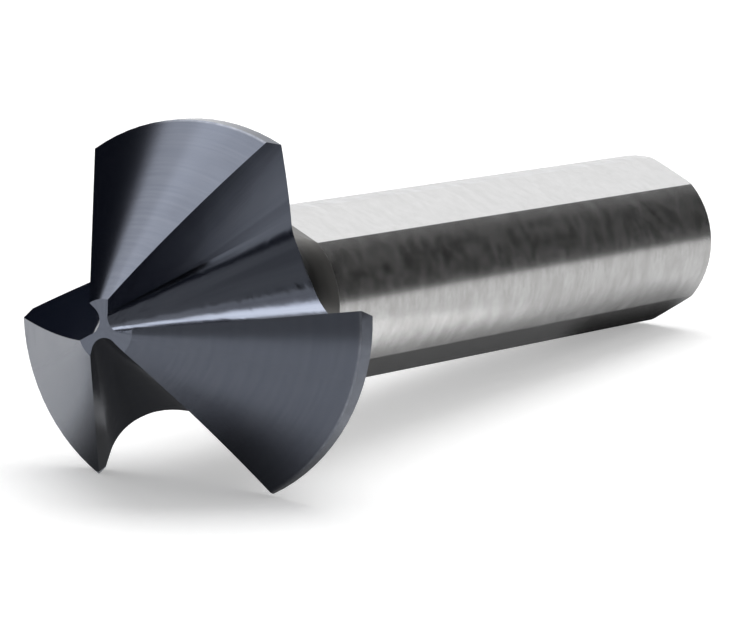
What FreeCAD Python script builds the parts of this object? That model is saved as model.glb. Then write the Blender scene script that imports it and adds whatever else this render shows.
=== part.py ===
import FreeCAD, Part
import math
import os

# Three-flute 90 degree countersink in millimetres, lying as it comes to rest on a level floor.
# It is first built on its own axis: S runs along +X from the flat tip towards the shank end, and
# azimuths turn about +X from +Y, with 0 at the middle of the first shank flat.

os.makedirs("parts", exist_ok=True)

# Overall sizes
HEAD_D = 20.5            # diameter over the lobes
SHANK_D = 10.0           # ground shank
LENGTH = 63.0            # flat tip to shank end
CONE_ANGLE = 90.0        # included angle of the cutting cone
TIP_D = 3.24             # diameter of the flat tip where the cone starts
LAND = 1.2               # length of the cylindrical land behind the cone
RELIEF = 0.25            # axial drop of each cone face at the rim, from cutting edge to heel
RELIEF_AT = 60.0         # azimuth behind the cutting edge where that drop is reached
SECTOR = (-20.0, 92.0)   # azimuths about a cutting edge that hold its lobe and no other

# Back of the head, waist and shank
BACK_RISE = 0.43         # axial run of the head's back per millimetre of radius
BACK_FILLET = 3.0        # radius between the head's back and the waist
WAIST_STEP = 0.25        # how far the waist lies below the shank
WAIST_RUN = 0.43         # straight length of the waist
WAIST_ARC = 4.0          # radius on which the waist opens towards the ground shank
END_ROUND = 0.2          # rounding of the shank end's edge
CENTRE_D = 2.0           # mouth of the centre hole in the shank end
CENTRE_ANGLE = 60.0      # included angle of that hole's cone
FLAT_DEPTH = 0.24        # depth of each of the three driving flats
FLAT_AZIMUTHS = (0.0, 120.0, 240.0)

# Flutes: azimuths of the cutting edges, at an unequal pitch that stops the tool from chattering
EDGE_AZIMUTHS = (56.7, 183.0, 297.2)
RAKE_LEAN = 0.3035       # lean of the flat rake face, tangential per axial millimetre
ROOT_R = 0.795           # radius of the flute root at the tip
ROOT_GROWTH = 0.3153     # growth of that radius per axial millimetre
HEEL_OFFSET = -0.008     # heel line of a section in the frame of its cutting edge:
HEEL_RISE = 0.3045       #   y = HEEL_OFFSET + HEEL_RISE S + (HEEL_SLOPE + HEEL_TWIST S) z
HEEL_SLOPE = -0.099
HEEL_TWIST = -0.0156
SECTION_START = -2.0     # S of the first flute section
SECTION_OVERRUN = 5.17   # how far the last one lies behind the land
REST_FLUTE = 1           # the flute in front of this cutting edge faces the floor

# Sizes that follow
HEAD_R, SHANK_R, TIP_R = HEAD_D / 2, SHANK_D / 2, TIP_D / 2
WAIST_R = SHANK_R - WAIST_STEP
HALF = math.radians(CONE_ANGLE / 2)
RIM_S = (HEAD_R - TIP_R) / math.tan(HALF)
BACK_S = RIM_S + LAND
APEX_S = -TIP_R / math.tan(HALF)
BACK_SLOPE = math.atan2(1.0, BACK_RISE)
TANGENT = BACK_FILLET * math.tan(BACK_SLOPE / 2)
WAIST_START = BACK_S + BACK_RISE * (HEAD_R - WAIST_R) + TANGENT
WAIST_END = WAIST_START + WAIST_RUN
OPENING = math.acos(1.0 - WAIST_STEP / WAIST_ARC)
SHANK_START = WAIST_END + WAIST_ARC * math.sin(OPENING)
FLAT_HEIGHT = SHANK_R - FLAT_DEPTH
SECTION_END = BACK_S + SECTION_OVERRUN
REACH = HEAD_D + 1.5


def vec(s, y, z):
    return FreeCAD.Vector(s, y, z)


def turned(shape, azimuth):
    """Copy of a shape turned about the tool axis."""
    out = shape.copy()
    out.rotate(vec(0, 0, 0), vec(1, 0, 0), azimuth)
    return out


def profile_arc(centre, radius, first, last):
    """Arc of the turned profile between two angles in radians, from +S towards the radius."""
    angles = (first, (first + last) / 2, last)
    points = [vec(centre[0] + radius * math.cos(a), centre[1] + radius * math.sin(a), 0) for a in angles]
    return Part.Arc(*points).toShape()


def blank():
    """Turned blank: tip, cone, land, head back, filleted waist, shank and rounded end."""
    down = 1.5 * math.pi
    back_fillet = profile_arc((WAIST_START, WAIST_R + BACK_FILLET), BACK_FILLET, down - BACK_SLOPE, down)
    waist_arc = profile_arc((WAIST_END, WAIST_R + WAIST_ARC), WAIST_ARC, down, down + OPENING)
    end_round = profile_arc((LENGTH - END_ROUND, SHANK_R - END_ROUND), END_ROUND, math.pi / 2, 0.0)
    corners = [vec(0, 0, 0), vec(0, TIP_R, 0), vec(RIM_S, HEAD_R, 0), vec(BACK_S, HEAD_R, 0)]
    edges = [Part.makeLine(a, b) for a, b in zip(corners, corners[1:])]
    last = corners[-1]
    for arc in (back_fillet, waist_arc, end_round):
        edges += [Part.makeLine(last, arc.Vertexes[0].Point), arc]
        last = arc.Vertexes[-1].Point
    edges += [Part.makeLine(last, vec(LENGTH, 0, 0)), Part.makeLine(vec(LENGTH, 0, 0), corners[0])]
    return Part.Face(Part.Wire(edges)).revolve(vec(0, 0, 0), vec(1, 0, 0), 360)


def section(s):
    """Closed flute section at S: rake line, root arc, heel line and an outer boundary."""
    root = ROOT_R + ROOT_GROWTH * s
    slope = HEEL_SLOPE + HEEL_TWIST * s
    rake_n = math.hypot(1.0, RAKE_LEAN)
    heel_n = math.hypot(1.0, slope)
    # the root's centre lies one root radius inside both faces
    rake_c = RAKE_LEAN * (s + TIP_R) - rake_n * root
    heel_c = HEEL_OFFSET + HEEL_RISE * s + heel_n * root
    cy = (heel_c + slope * rake_c) / (1.0 + slope * RAKE_LEAN)
    cz = rake_c - RAKE_LEAN * cy
    to_rake = (RAKE_LEAN / rake_n, 1.0 / rake_n)
    to_heel = (-1.0 / heel_n, slope / heel_n)
    on_rake = (cy + root * to_rake[0], cz + root * to_rake[1])
    on_heel = (cy + root * to_heel[0], cz + root * to_heel[1])
    middle = (to_rake[0] + to_heel[0], to_rake[1] + to_heel[1])
    size = math.hypot(*middle)
    on_root = (cy + root * middle[0] / size, cz + root * middle[1] / size)
    rake_out = (on_rake[0] + REACH / rake_n, on_rake[1] - REACH * RAKE_LEAN / rake_n)
    heel_out = (on_heel[0] - REACH * slope / heel_n, on_heel[1] - REACH / heel_n)
    outer = (rake_out[0], heel_out[1])
    at = lambda p: vec(s, p[0], p[1])
    return Part.Wire([Part.makeLine(at(rake_out), at(on_rake)),
                      Part.Arc(at(on_rake), at(on_root), at(on_heel)).toShape(),
                      Part.makeLine(at(on_heel), at(heel_out)),
                      Part.makeLine(at(heel_out), at(outer)),
                      Part.makeLine(at(outer), at(rake_out))])


def wedge(first, last):
    """Prism over the cone between two azimuths, with its point on the tool axis."""
    arc = [math.radians(first + (last - first) * i / 4) for i in range(5)]
    corners = [vec(APEX_S - 1.0, REACH * math.cos(a), REACH * math.sin(a)) for a in arc]
    tip = vec(APEX_S - 1.0, 0, 0)
    return Part.Face(Part.makePolygon([tip] + corners + [tip])).extrude(vec(depth, 0, 0))


def land_corners(shape, azimuth):
    """Azimuths of the two corners where a flute cuts the back edge of the land."""
    found = []
    for vertex in shape.Vertexes:
        s, y, z = vertex.Point
        if abs(s - BACK_S) < 0.01 and abs(math.hypot(y, z) - HEAD_R) < 0.01:
            found.append((math.degrees(math.atan2(z, y)) - azimuth + 180.0) % 360.0 - 180.0)
    ahead = [a for a in found if -90.0 < a < 30.0]
    return azimuth + min(ahead), azimuth + max(ahead)


# Turned blank
tool = blank()

# Relieved cone faces: behind each cutting edge the cone is tilted about that edge's azimuth
tilt = math.degrees(RELIEF / (2 * HEAD_R * math.sin(math.radians(RELIEF_AT))))
depth = RIM_S - APEX_S + 4.0
for azimuth in EDGE_AZIMUTHS:
    cone = Part.makeCone(0, depth * math.tan(HALF), depth, vec(APEX_S, 0, 0), vec(1, 0, 0))
    cone.rotate(vec(APEX_S, 0, 0), vec(0, 1, 0), tilt)
    waste = wedge(SECTOR[0], SECTOR[1]).cut(cone)
    tool = tool.cut(turned(waste, azimuth))

# Flutes, each a ruled cut between two sections that grows from the tip to the head's back
flute = Part.makeLoft([section(SECTION_START), section(SECTION_END)], True, True)
for azimuth in EDGE_AZIMUTHS:
    tool = tool.cut(turned(flute, azimuth))

# Driving flats on the shank
for azimuth in FLAT_AZIMUTHS:
    slab = Part.makeBox(LENGTH - WAIST_START, SHANK_D, 2 * SHANK_D,
                        vec(WAIST_START + WAIST_RUN / 2, FLAT_HEIGHT, -SHANK_D))
    tool = tool.cut(turned(slab, azimuth))

# Centre hole in the shank end
centre_depth = CENTRE_D / 2 / math.tan(math.radians(CENTRE_ANGLE / 2))
centre_hole = Part.makeCone(0, CENTRE_D / 2, centre_depth, vec(LENGTH - centre_depth, 0, 0), vec(1, 0, 0))
tool = tool.cut(centre_hole)
tool = tool.removeSplitter()

# Rest pose: two corners of the lower flute and the shank end's edge touch the floor
heel_side, cut_side = land_corners(tool, EDGE_AZIMUTHS[REST_FLUTE])
down = (cut_side + heel_side) / 2
corner_r = HEAD_R * math.cos(math.radians((cut_side - heel_side) / 2))
run = LENGTH - END_ROUND - BACK_S
fall = corner_r - (SHANK_R - END_ROUND)
slant = math.degrees(math.acos(END_ROUND / math.hypot(run, fall)) - math.atan2(run, fall))
tool = turned(tool, 270.0 - down)
tool.rotate(vec(0, 0, 0), vec(0, 1, 0), slant)
box = tool.optimalBoundingBox(False, False)
shift = vec(-(box.XMin + box.XMax) / 2, -(box.YMin + box.YMax) / 2, -box.ZMin)
tool.translate(shift)

solid = tool.Solids[0] if tool.Solids else tool
print("solids", len(tool.Solids), "valid", solid.isValid(), "volume mm3", round(solid.Volume, 1))
print("faces", len(solid.Faces), "box mm", [round(v, 3) for v in (box.XLength, box.YLength, box.ZLength)])
print("down azimuth", round(down, 4), "slant", round(slant, 4), "shift", [round(v, 4) for v in shift])
solid.exportStep("parts/countersink.step")
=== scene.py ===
import math

import bpy
from mathutils import Euler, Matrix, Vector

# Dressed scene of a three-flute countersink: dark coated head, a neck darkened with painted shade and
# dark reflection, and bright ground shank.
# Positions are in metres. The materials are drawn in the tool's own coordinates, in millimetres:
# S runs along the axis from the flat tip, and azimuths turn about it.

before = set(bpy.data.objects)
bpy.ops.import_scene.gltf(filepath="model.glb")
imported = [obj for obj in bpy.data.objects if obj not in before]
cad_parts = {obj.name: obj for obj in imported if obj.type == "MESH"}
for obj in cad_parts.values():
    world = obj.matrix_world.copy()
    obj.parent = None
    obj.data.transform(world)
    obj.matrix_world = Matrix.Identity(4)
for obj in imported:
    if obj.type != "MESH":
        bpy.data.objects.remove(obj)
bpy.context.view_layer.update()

MM = 0.001

# ---------------------------------------------------------------- sizes taken over from the solid
TOOL_ORIGIN = Vector((-31.539, 0.0248, 9.6755)) * MM    # centre of the flat tip
TOOL_ROLL = 270.0 - 155.2106                            # turn about the axis at rest, degrees
TOOL_SLANT = 4.201                                      # dip of the shank end at rest, degrees
COAT_END = 11.9                                         # S at which the coating stops
SHANK_START = 15.99                                     # S at which the ground shank starts
FLAT_HEIGHT = 4.76                                      # distance of the driving flats from the axis
RIM_R = 10.25                                           # radius where the cone meets the land

# ---------------------------------------------------------------- where the steel's regions meet
COAT_BLUR = 0.12                                        # half the length over which the coating stops
NECK_BLUR = 0.02                                        # the same where the dark neck stops
NECK_SHADE_FADES = (SHANK_START - 2.4, SHANK_START - 1.0)  # S over which the neck's painted shade lightens away from the head
RIM_WEAR_AND_HIGHLIGHT_RADII = (RIM_R - 0.14, RIM_R - 0.04)                  # radii over which the rim's rubbing wear and painted edge highlight set in
FLAT_SEEN = (FLAT_HEIGHT + 0.16, FLAT_HEIGHT + 0.08)    # axis to a face's plane, from round to flat
CONE_SEEN = (0.975, 0.99)                               # cosine to the cone's normal, from off to on
AXIS_GUARD = 0.05                                       # least radius that anything is divided by

# ---------------------------------------------------------------- steel: patterns
# Noise as scale, detail and roughness
LINE_NOISE = (1.0, 2.0, 0.6)
FAN_NOISE = (1.0, 3.0, 0.6)
STREAK_NOISE = (1.0, 2.0, 0.5)
CLOUD_NOISE = (0.35, 3.0, 0.5)
SPECK_NOISE = (2.2, 2.0, 0.6)
BLOOM_NOISE = (1.0, 3.0, 0.6)
HAZE_NOISE = (1.1, 4.0, 0.65)
# Density of a pattern along the axis, and around or across it
CONE_RINGS = (3.2, 1.5)
SHANK_RINGS = (2.6, 1.3)
BLOOM_PATCHES = (0.75, 0.45)
FAN_LINES, FAN_STREAKS = 42.0, 9.0                      # density over the directions from the tip
# Parts of each noise's range that the patterns are drawn from
LINE_RANGE = (0.25, 0.75)
STREAK_RANGE = (0.50, 0.68)
WEAR_AND_HIGHLIGHT_RANGE = (0.3, 0.7)
BLOOM_RANGE = (0.32, 0.68)
SPECK_RANGE = (0.30, 0.80)
HAZE_RANGE = (0.36, 0.66)

# ---------------------------------------------------------------- steel: colours, with their shares
COAT_TONES = (0.093, 0.102, 0.126, 1), (0.107, 0.116, 0.140, 1)
COAT_CLOUD, COAT_CLOUD_SHARE = (0.086, 0.097, 0.124, 1), 0.35
COAT_STREAK, COAT_STREAK_SHARE = (0.060, 0.066, 0.084, 1), 0.55
# the rim's lighter tone is partly rubbing wear and partly a painted edge highlight
RIM_WEAR_AND_HIGHLIGHT_TONE, RIM_WEAR_AND_HIGHLIGHT_SHARES = (0.24, 0.25, 0.28, 1), (0.25, 0.8)
GROUND_TONES = (0.685, 0.678, 0.67, 1), (0.725, 0.72, 0.712, 1)
BLOOM_TONE, BLOOM_ROUND, BLOOM_FLAT = (0.50, 0.49, 0.475, 1), 0.55, 0.10
SPECK_TONE, SPECK_SHARE = (0.52, 0.51, 0.50, 1), 0.20
# painted shade and dark reflection on the neck: darkest next to the head, lighter towards the shank
NECK_SHADE_TONES = (0.050, 0.049, 0.047, 1), (0.180, 0.177, 0.170, 1)
EDGE_TINT = (0.97, 0.98, 1.0, 1)

# ---------------------------------------------------------------- steel: gloss and relief
FLUTE_ROUGH, CONE_ROUGH = 0.155, 0.23
SHANK_ROUGH, NECK_ROUGH = 0.235, 0.385
LINES_SPREAD = 0.5                                      # how far the grinding lines stretch reflections
HAZE_LEAST, HAZE_ROUND, HAZE_FLAT = 0.01, 0.085, 0.03   # dull share of the bare steel
RING_RELIEF, FAN_RELIEF, STREAK_RELIEF = 0.30, 0.12, 0.04
RELIEF_STRENGTH, RELIEF_DEPTH = 0.25, 0.02 * MM

# ---------------------------------------------------------------- camera at the photo's view
CAMERA_AT = Vector((-287.27, -150.62, 70.88)) * MM
CAMERA_TURN = (78.628, -2.012, -61.657)                 # XYZ Euler angles, degrees
CAMERA_CLIP = (0.01, 10.0)
LENS_PX = 5942.0
IMAGE_PX = 732.0
SENSOR_MM = 36.0

# ---------------------------------------------------------------- studio
AMBIENT = 0.42                                          # level of the light from all round
LAMP_AT, LAMP_SIZE, LAMP_POWER = (0.155, 0.065, 0.90), (0.9, 0.9), 5.2
FLOOR_SIZE = 4.0
FLOOR_GLOW = 0.35                                       # part of the table's white that keeps no shadow
FLOOR_TONES = (0.91, 0.91, 0.91, 1), (1.00, 1.00, 1.00, 1)    # its darkest and lightest mottling
FLOOR_NOISE, FLOOR_RANGE = (2200.0, 3.0, 0.7), (0.38, 0.62)
FLOOR_MIRRORED = 0.80                                   # share of its white that polished faces see
BLACK, WHITE = (0, 0, 0, 1), (1, 1, 1, 1)

# What the polished faces see: plain cards that nothing else sees. A level is one number, or one each
# for red, green and blue. Upright cards bent round the object: first and last azimuth from +X, lowest
# and highest elevation in degrees, level
CARD_RADIUS = 1.2
BAND_STEPS = 24                                         # straight pieces in a bent card
# navy level of the painted shade on the table to the front right
NAVY = (0.026, 0.031, 0.050)
WALL_CARDS = {
    "right_card": (-62.0, -3.0, -1.0, 49.0, 0.018),
    "front_card": (-150.0, -62.0, -1.0, 48.0, 0.42),
    "left_card": (35.0, 125.0, 0.0, 46.0, (0.012, 0.015, 0.026)),
}
# Overhead boxes: lowest and highest X, lowest and highest Y, height, level
BOX_CARDS = {
    "overhead_back": (-0.12, 0.60, -0.02, 0.48, 0.90, 3.6),
    "overhead_edge": (-0.12, 0.60, 0.48, 0.78, 0.90, 2.3),
    "overhead_front": (-0.60, -0.12, -0.30, 0.78, 0.90, 2.1),
    "strip_box": (0.36, 0.74, -0.32, -0.02, 0.89, 5.6),
}
# Painted shade and painted light on the table, as sheets just over the floor that only polished faces
# see: first and last azimuth, inner and outer radius, height, level
TABLE_CARDS = {
    "table_back": (-70.0, -2.0, 0.014, 0.125, 0.05 * MM, 0.72),
    "table_end": (-70.0, -12.0, 0.095, 1.19, 0.10 * MM, 0.05),
    "table_right": (-93.2, -70.0, 0.066, 1.19, 0.10 * MM, NAVY),
    "table_right_near": (-112.0, -93.2, 0.044, 1.19, 0.10 * MM, NAVY),
    "table_front": (-150.0, -112.0, 0.075, 1.19, 0.10 * MM, 0.38),
    "table_left": (140.0, 172.0, 0.090, 1.19, 0.10 * MM, 1.40),
}
TABLE_FADE = 0.008                                      # softness of their inner edge
# The table close under the tool, which the tool's own underside sees: a shaded sheet, and a darker
# one where the shank end touches. Their patches are in millimetres: range of X, half width in Y
UNDER_SHEET = (-0.045, 0.045, -0.022, 0.022)
UNDER_LEVEL, UNDER_LIFT, UNDER_FADE = 0.085, 0.15 * MM, 7.5
UNDER_SHANK = (-20.0, 31.0), 2.0
UNDER_HEAD = (-26.0, -17.5), 4.7
# painted contact shadow where the shank end touches the table
CONTACT_LEVEL, CONTACT_LIFT, CONTACT_FADE = 0.01, 0.20 * MM, 4.0
CONTACT = (23.0, 32.0), 1.0


class Graph:
    """Short calls for building a node tree."""

    def __init__(self, tree):
        self.tree = tree
        tree.nodes.clear()

    def node(self, kind, **settings):
        made = self.tree.nodes.new(kind)
        for name, value in settings.items():
            setattr(made, name, value)
        return made

    def link(self, source, target):
        if isinstance(source, bpy.types.NodeSocket):
            self.tree.links.new(source, target)
        else:
            target.default_value = source

    def fill(self, sockets, values):
        for socket, value in zip(sockets, values):
            self.link(value, socket)

    def finish(self, shader, kind="ShaderNodeOutputMaterial"):
        self.link(shader, self.node(kind).inputs["Surface"])

    def math(self, operation, a, b=0.0, clamp=False):
        made = self.node("ShaderNodeMath", operation=operation, use_clamp=clamp)
        self.fill(made.inputs, (a, b))
        return made.outputs[0]

    def vector_math(self, operation, a, b=(0, 0, 0)):
        made = self.node("ShaderNodeVectorMath", operation=operation)
        self.fill(made.inputs, (a, b))
        return made.outputs["Vector"]

    def length(self, a, b):
        return self.math("SQRT", self.math("ADD", self.math("MULTIPLY", a, a),
                                           self.math("MULTIPLY", b, b)))

    def ramp(self, value, low, high):
        """Smooth step of a value from 0 at low to 1 at high."""
        made = self.node("ShaderNodeMapRange", interpolation_type="SMOOTHSTEP")
        self.fill(made.inputs, (value, low, high, 0.0, 1.0))
        return made.outputs[0]

    def span(self, value, low, high, to_low, to_high):
        """Linear change of range."""
        made = self.node("ShaderNodeMapRange")
        self.fill(made.inputs, (value, low, high, to_low, to_high))
        return made.outputs[0]

    def mix(self, factor, a, b):
        made = self.node("ShaderNodeMix", data_type="FLOAT")
        self.fill((made.inputs[0], made.inputs[2], made.inputs[3]), (factor, a, b))
        return made.outputs[0]

    def mix_vector(self, factor, a, b):
        made = self.node("ShaderNodeMix", data_type="VECTOR")
        self.fill((made.inputs[0], made.inputs[4], made.inputs[5]), (factor, a, b))
        return made.outputs[1]

    def mix_colour(self, factor, a, b):
        made = self.node("ShaderNodeMix", data_type="RGBA")
        self.fill((made.inputs[0], made.inputs[6], made.inputs[7]), (factor, a, b))
        return made.outputs[2]

    def parts(self, vector):
        made = self.node("ShaderNodeSeparateXYZ")
        self.link(vector, made.inputs[0])
        return made.outputs

    def stretched(self, along, y, z, density):
        """Point with its first part scaled by one density and the others by another."""
        made = self.node("ShaderNodeCombineXYZ")
        self.fill(made.inputs, (self.math("MULTIPLY", along, density[0]),
                                self.math("MULTIPLY", y, density[1]),
                                self.math("MULTIPLY", z, density[1])))
        return made.outputs[0]

    def noise(self, vector, kind):
        made = self.node("ShaderNodeTexNoise")
        self.link(vector, made.inputs["Vector"])
        for name, value in zip(("Scale", "Detail", "Roughness"), kind):
            made.inputs[name].default_value = value
        return made.outputs[0]


class Tool:
    """Coordinates on the tool's own axis, in millimetres, with the masks that follow from them."""

    def __init__(self, g):
        self.g = g
        geometry = g.node("ShaderNodeNewGeometry")
        position, normal = geometry.outputs["Position"], geometry.outputs["Normal"]
        turn = [math.radians(TOOL_ROLL), math.radians(TOOL_SLANT), 0.0]
        place = g.node("ShaderNodeMapping", vector_type="TEXTURE")
        place.inputs["Location"].default_value = TOOL_ORIGIN
        place.inputs["Rotation"].default_value = turn
        place.inputs["Scale"].default_value = (MM, MM, MM)
        g.link(position, place.inputs[0])
        facing = g.node("ShaderNodeMapping", vector_type="TEXTURE")
        facing.inputs["Rotation"].default_value = turn
        g.link(geometry.outputs["True Normal"], facing.inputs[0])
        self.point = place.outputs[0]
        self.s, self.y, self.z = g.parts(self.point)
        normal_s, normal_y, normal_z = g.parts(facing.outputs[0])
        self.radius = g.length(self.y, self.z)
        divisor = g.math("MAXIMUM", self.radius, AXIS_GUARD)
        # direction around the axis on a unit circle, so that patterns close on themselves
        self.fan_y = g.math("DIVIDE", self.y, divisor)
        self.fan_z = g.math("DIVIDE", self.z, divisor)

        # distance of the face's own plane from the axis
        outward = g.math("ADD", g.math("MULTIPLY", self.y, normal_y),
                         g.math("MULTIPLY", self.z, normal_z))
        self.on_flat = g.ramp(outward, *FLAT_SEEN)
        # the turned cone leans halfway between the axis and the radius
        lean = g.math("MULTIPLY", g.math("SUBTRACT", g.math("DIVIDE", outward, divisor), normal_s),
                      math.sqrt(0.5))
        self.on_cone = g.ramp(lean, *CONE_SEEN)
        self.coated = g.ramp(self.s, COAT_END + COAT_BLUR, COAT_END - COAT_BLUR)
        self.neck = g.ramp(self.s, SHANK_START + NECK_BLUR, SHANK_START - NECK_BLUR)

        # gloss spreads across the grinding lines: rings on turned faces, fans on flutes
        axis = Euler(turn).to_matrix() @ Vector((1, 0, 0))
        from_tip = g.vector_math("SUBTRACT", position, tuple(TOOL_ORIGIN))
        around = g.vector_math("CROSS_PRODUCT", tuple(axis), from_tip)
        self.across_rings = self.across(normal, around)
        self.across_fans = self.across(normal, from_tip)

    def across(self, normal, line):
        return self.g.vector_math("NORMALIZE", self.g.vector_math("CROSS_PRODUCT", normal, line))


def new_material(name):
    material = bpy.data.materials.new(name)
    material.use_nodes = True
    return material, Graph(material.node_tree)


def coat_colour(g, t, rings, fan, streak, speck, off_cone):
    """Blue-grey coating with ground lines, soft clouds, dark streaks, and a rim lightened partly as
    rubbing wear and partly as a painted edge highlight.
    """
    lines = g.ramp(g.mix(t.on_cone, fan, rings), *LINE_RANGE)
    coat = g.mix_colour(lines, *COAT_TONES)
    cloud = g.noise(t.point, CLOUD_NOISE)
    coat = g.mix_colour(g.math("MULTIPLY", cloud, COAT_CLOUD_SHARE), coat, COAT_CLOUD)
    streaked = g.math("MULTIPLY", g.ramp(streak, *STREAK_RANGE), off_cone)
    coat = g.mix_colour(g.math("MULTIPLY", streaked, COAT_STREAK_SHARE), coat, COAT_STREAK)
    # the rim where the cone meets the land is lightened: partly rubbing wear, partly a painted edge
    # highlight
    rim = g.math("MULTIPLY", t.on_cone, g.ramp(t.radius, *RIM_WEAR_AND_HIGHLIGHT_RADII))
    rubbed_and_highlit = g.math("MULTIPLY", rim, g.span(speck, *WEAR_AND_HIGHLIGHT_RANGE, *RIM_WEAR_AND_HIGHLIGHT_SHARES))
    return g.mix_colour(rubbed_and_highlit, coat, RIM_WEAR_AND_HIGHLIGHT_TONE)


def ground_colour(g, t, on_flat, speck):
    """Neck darkened with painted shade and dark reflection, darkest next to the head, and a bright
    ground shank with a mottled bloom.
    """
    rings = g.noise(g.stretched(t.s, t.fan_y, t.fan_z, SHANK_RINGS), LINE_NOISE)
    bloom = g.noise(g.stretched(t.s, t.y, t.z, BLOOM_PATCHES), BLOOM_NOISE)
    # the flats have no rings and take the middle of their two tones
    lines = g.mix(on_flat, g.ramp(rings, *LINE_RANGE), 0.5)
    ground = g.mix_colour(lines, *GROUND_TONES)
    bloomed = g.math("MULTIPLY", g.ramp(bloom, *BLOOM_RANGE), g.mix(on_flat, BLOOM_ROUND, BLOOM_FLAT))
    ground = g.mix_colour(bloomed, ground, BLOOM_TONE)
    specked = g.math("MULTIPLY", g.ramp(speck, *SPECK_RANGE), SPECK_SHARE)
    ground = g.mix_colour(specked, ground, SPECK_TONE)
    # the neck takes painted shade and dark reflection, darkest next to the head
    return g.mix_colour(t.neck, ground, g.mix_colour(g.ramp(t.s, *NECK_SHADE_FADES), *NECK_SHADE_TONES))


def steel():
    """Dark coated head, neck darkened with painted shade and dark reflection, and bright ground shank
    on one piece of steel.
    """
    material, g = new_material("coated_and_ground_steel")
    t = Tool(g)
    bare = g.math("SUBTRACT", 1.0, t.coated)
    off_cone = g.math("SUBTRACT", 1.0, t.on_cone)
    on_flat = g.math("MULTIPLY", bare, t.on_flat)

    # grinding lines: rings on the cone, fans and streaks in the flutes
    rings = g.noise(g.stretched(g.math("ADD", t.s, t.radius), t.fan_y, t.fan_z, CONE_RINGS), LINE_NOISE)
    unit = g.vector_math("NORMALIZE", t.point)
    fan = g.noise(g.vector_math("MULTIPLY", unit, (FAN_LINES,) * 3), FAN_NOISE)
    streak = g.noise(g.vector_math("MULTIPLY", unit, (FAN_STREAKS,) * 3), STREAK_NOISE)
    speck = g.noise(t.point, SPECK_NOISE)

    shader = g.node("ShaderNodeBsdfPrincipled")
    shader.inputs["Anisotropic"].default_value = LINES_SPREAD
    shader.inputs["Specular Tint"].default_value = EDGE_TINT
    coat = coat_colour(g, t, rings, fan, streak, speck, off_cone)
    ground = ground_colour(g, t, on_flat, speck)
    g.link(g.mix_colour(t.coated, ground, coat), shader.inputs["Base Color"])
    ground_rough = g.mix(t.neck, SHANK_ROUGH, NECK_ROUGH)
    coat_rough = g.mix(t.on_cone, FLUTE_ROUGH, CONE_ROUGH)
    g.link(g.mix(t.coated, ground_rough, coat_rough), shader.inputs["Roughness"])

    # a thin dull haze on the bare steel gives its reflections a soft clouding
    clouds = g.ramp(g.noise(t.point, HAZE_NOISE), *HAZE_RANGE)
    haze = g.span(clouds, 0.0, 1.0, HAZE_LEAST, g.mix(on_flat, HAZE_ROUND, HAZE_FLAT))
    g.link(g.math("SUBTRACT", 1.0, g.math("MULTIPLY", bare, haze)), shader.inputs["Metallic"])

    # relief of the grinding lines on the head
    fan_relief = g.math("ADD", g.math("MULTIPLY", fan, FAN_RELIEF),
                        g.math("MULTIPLY", streak, STREAK_RELIEF))
    coat_relief = g.mix(t.on_cone, fan_relief, g.math("MULTIPLY", rings, RING_RELIEF))
    bump = g.node("ShaderNodeBump")
    bump.inputs["Strength"].default_value = RELIEF_STRENGTH
    bump.inputs["Distance"].default_value = RELIEF_DEPTH
    g.link(g.math("MULTIPLY", t.coated, coat_relief), bump.inputs["Height"])
    g.link(bump.outputs[0], shader.inputs["Normal"])

    flute = g.math("MULTIPLY", t.coated, off_cone)
    g.link(g.mix_vector(flute, t.across_rings, t.across_fans), shader.inputs["Tangent"])
    g.finish(shader.outputs[0])
    return material


def sees_white(g, rays):
    """1 for rays from the camera, and for those by way of a polished or a clear face."""
    seen = g.math("ADD", rays.outputs["Is Camera Ray"], rays.outputs["Is Glossy Ray"], clamp=True)
    return g.math("ADD", seen, rays.outputs["Is Transmission Ray"], clamp=True)


def floor_material():
    """Plain near-white studio table with a faint mottling that shows in the shadow."""
    material, g = new_material("studio_floor")
    rays = g.node("ShaderNodeLightPath")
    place = g.node("ShaderNodeNewGeometry").outputs["Position"]
    tone = g.mix_colour(g.ramp(g.noise(place, FLOOR_NOISE), *FLOOR_RANGE), *FLOOR_TONES)
    dimmed = g.math("MULTIPLY", rays.outputs["Is Glossy Ray"], 1.0 - FLOOR_MIRRORED)
    diffuse = g.node("ShaderNodeBsdfDiffuse")
    g.link(g.mix_colour(dimmed, tone, BLACK), diffuse.inputs["Color"])
    glow = g.node("ShaderNodeEmission")
    g.link(g.math("MULTIPLY", sees_white(g, rays), FLOOR_GLOW), glow.inputs["Strength"])
    both = g.node("ShaderNodeAddShader")
    g.fill(both.inputs, (diffuse.outputs[0], glow.outputs[0]))
    g.finish(both.outputs[0])
    return material


def make_floor():
    bpy.ops.mesh.primitive_plane_add(size=FLOOR_SIZE, location=(0, 0, 0))
    floor = bpy.context.object
    floor.name = "studio_floor"
    floor.data.materials.append(floor_material())


def make_world():
    """White where the camera or a polished face looks, and a plain level of light elsewhere."""
    world = bpy.data.worlds.new("studio_world")
    bpy.context.scene.world = world
    world.use_nodes = True
    g = Graph(world.node_tree)
    background = g.node("ShaderNodeBackground")
    background.inputs["Color"].default_value = WHITE
    seen = sees_white(g, g.node("ShaderNodeLightPath"))
    g.link(g.mix(seen, AMBIENT, 1.0), background.inputs["Strength"])
    g.finish(background.outputs[0], "ShaderNodeOutputWorld")


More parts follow.
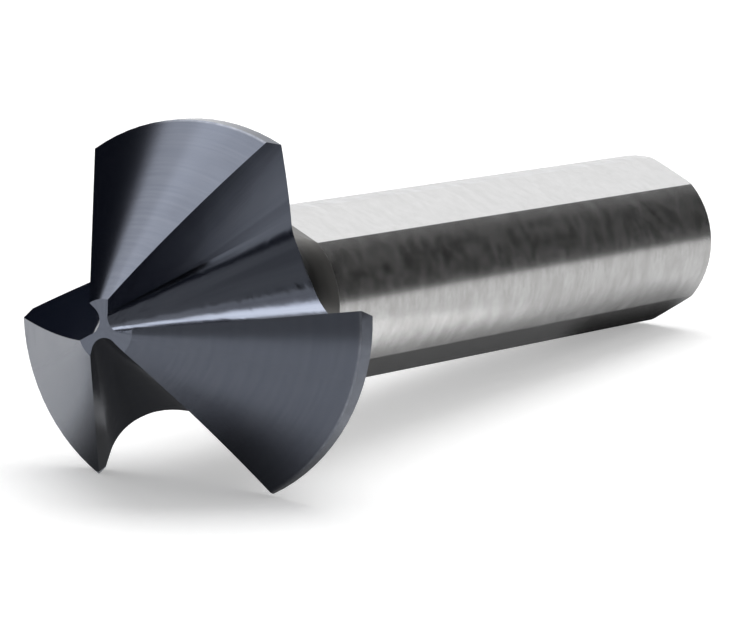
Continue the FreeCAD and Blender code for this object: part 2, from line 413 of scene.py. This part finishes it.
def card_material(name, level, cover=None):
    """Even card. cover, if given, returns how much of it there is at a point, from 0 to 1."""
    material, g = new_material(name)
    shader = g.node("ShaderNodeEmission")
    colour = level if isinstance(level, tuple) else (level,) * 3
    shader.inputs["Color"].default_value = colour + (1,)
    result = shader.outputs[0]
    if cover:
        x, y, _ = g.parts(g.node("ShaderNodeNewGeometry").outputs["Position"])
        blend = g.node("ShaderNodeMixShader")
        g.fill(blend.inputs, (cover(g, x, y), g.node("ShaderNodeBsdfTransparent").outputs[0], result))
        result = blend.outputs[0]
    g.finish(result)
    return material


def outside(g, value, low, high):
    """How far a value lies outside a range."""
    return g.math("MAXIMUM", g.math("MAXIMUM", g.math("SUBTRACT", low, value),
                                    g.math("SUBTRACT", value, high)), 0.0)


def patch_gap(g, x, y, patch):
    """Distance in millimetres from a rectangle on the table."""
    span, half = patch
    return g.length(outside(g, g.math("DIVIDE", x, MM), *span),
                    outside(g, g.math("DIVIDE", y, MM), -half, half))


def under_cover(g, x, y):
    """Soft-edged patch under the shank and the head, like the shade that a tool lies in."""
    gap = g.math("MINIMUM", patch_gap(g, x, y, UNDER_SHANK), patch_gap(g, x, y, UNDER_HEAD))
    return g.ramp(gap, UNDER_FADE, 0.0)


def contact_cover(g, x, y):
    """Darker patch of painted contact shadow where the shank end touches the table."""
    return g.ramp(patch_gap(g, x, y, CONTACT), CONTACT_FADE, 0.0)


def ring_cover(inner):
    """Soft inner edge of a table card."""
    def cover(g, x, y):
        return g.ramp(g.length(x, y), inner, inner + TABLE_FADE)
    return cover


def make_card(name, corners, faces, level, cover=None):
    """Stage card that only the polished faces see."""
    mesh = bpy.data.meshes.new(name)
    mesh.from_pydata(corners, [], faces)
    mesh.materials.append(card_material(name, level, cover))
    card = bpy.data.objects.new(name, mesh)
    bpy.context.scene.collection.objects.link(card)
    card.visible_camera = False
    card.visible_diffuse = False
    card.visible_shadow = False


def make_band(name, first, last, inner, outer, level, cover=None):
    """Card between two rings, given as (radius, height), over a range of azimuths."""
    corners, faces = [], []
    for i in range(BAND_STEPS + 1):
        a = math.radians(first + (last - first) * i / BAND_STEPS)
        for radius, height in (inner, outer):
            corners.append((radius * math.cos(a), radius * math.sin(a), height))
        if i:
            faces.append((2 * i - 2, 2 * i, 2 * i + 1, 2 * i - 1))
    make_card(name, corners, faces, level, cover)


def make_sheet(name, x0, x1, y0, y1, height, level, cover=None):
    """Level rectangular card."""
    make_card(name, [(x0, y0, height), (x1, y0, height), (x1, y1, height), (x0, y1, height)],
              [(0, 1, 2, 3)], level, cover)


def make_cards():
    for name, (first, last, low, high, level) in WALL_CARDS.items():
        low, high = (CARD_RADIUS * math.tan(math.radians(rise)) for rise in (low, high))
        make_band(name, first, last, (CARD_RADIUS, low), (CARD_RADIUS, high), level)
    for name, sides in BOX_CARDS.items():
        make_sheet(name, *sides)
    # sheets of painted shade and painted light on the table, seen only in reflections
    for name, (first, last, inner, outer, lift, level) in TABLE_CARDS.items():
        make_band(name, first, last, (inner, lift), (outer, lift), level, ring_cover(inner))
    make_sheet("table_under", *UNDER_SHEET, UNDER_LIFT, UNDER_LEVEL, under_cover)
    make_sheet("table_contact_shadow", *UNDER_SHEET, CONTACT_LIFT, CONTACT_LEVEL, contact_cover)


def make_lamp():
    """Soft overhead lamp aimed at the object, which polished faces don't see."""
    data = bpy.data.lights.new("overhead_lamp", "AREA")
    data.shape = "RECTANGLE"
    data.size, data.size_y = LAMP_SIZE
    data.energy = LAMP_POWER
    lamp = bpy.data.objects.new("overhead_lamp", data)
    lamp.location = LAMP_AT
    lamp.rotation_euler = (-Vector(LAMP_AT)).to_track_quat("-Z", "Y").to_euler()
    lamp.visible_glossy = False
    bpy.context.scene.collection.objects.link(lamp)


def make_camera():
    data = bpy.data.cameras.new("photo_camera")
    data.sensor_fit = "HORIZONTAL"
    data.sensor_width = SENSOR_MM
    data.lens = LENS_PX * SENSOR_MM / IMAGE_PX
    data.clip_start, data.clip_end = CAMERA_CLIP
    camera = bpy.data.objects.new("photo_camera", data)
    camera.location = CAMERA_AT
    camera.rotation_euler = [math.radians(a) for a in CAMERA_TURN]
    bpy.context.scene.collection.objects.link(camera)
    bpy.context.scene.camera = camera


def dress():
    """The piece keeps the solid's shape and gets the detailed steel."""
    metal = steel()
    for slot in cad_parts["countersink"].material_slots:
        slot.material = metal


dress()
make_floor()
make_world()
make_cards()
make_lamp()
make_camera()

view = bpy.context.scene.view_settings
view.view_transform = "Standard"
